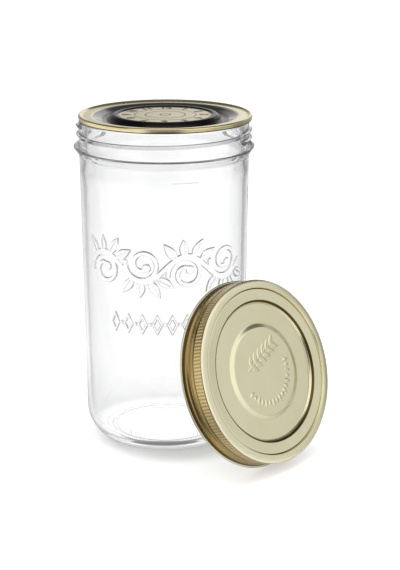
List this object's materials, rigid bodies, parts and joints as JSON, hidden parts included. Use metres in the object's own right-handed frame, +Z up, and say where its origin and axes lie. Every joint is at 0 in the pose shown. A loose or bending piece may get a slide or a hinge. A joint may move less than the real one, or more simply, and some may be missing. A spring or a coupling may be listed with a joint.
{
  "type": "glass storage jar",
  "caption": "Tall wide-mouth glass storage jar with a screw-thread neck, a pressed metal capsule resting on the mouth, its sealing ring, and a gold screw lid leaning against it.",
  "frame": {"origin": "centre of the jar's foot, on the surface that the jar stands on", "axes": "+Z up along the jar's axis; -Y towards the viewer; the lid leans against the jar at +X -Y"},
  "size_m": [0.1615, 0.1616, 0.2112],
  "materials": {
    "clear_glass": "clear pressed soda-lime glass",
    "capsule_tinplate": "gold-lacquered tinplate with a black lacquered ring",
    "sealing_compound": "matt flowed-in compound",
    "lid_tinplate": "satin pale gold lacquer on tinplate"
  },
  "bodies": {
    "jar": {"glass_jar": "clear_glass"},
    "capsule": {"capsule_disc": "capsule_tinplate", "sealing_ring": "sealing_compound"},
    "lid": {"screw_lid": "lid_tinplate"}
  },
  "joints": [
    {"name": "capsule_lift", "type": "slide", "parent": "jar", "child": "capsule", "axis": [0, 0, 1], "range_m": [0, 0.12]},
    {"name": "lid_pick_up", "type": "slide", "parent": "jar", "child": "lid", "axis": [0.6979, -0.6328, 0.3355], "range_m": [0, 0.15]}
  ]
}
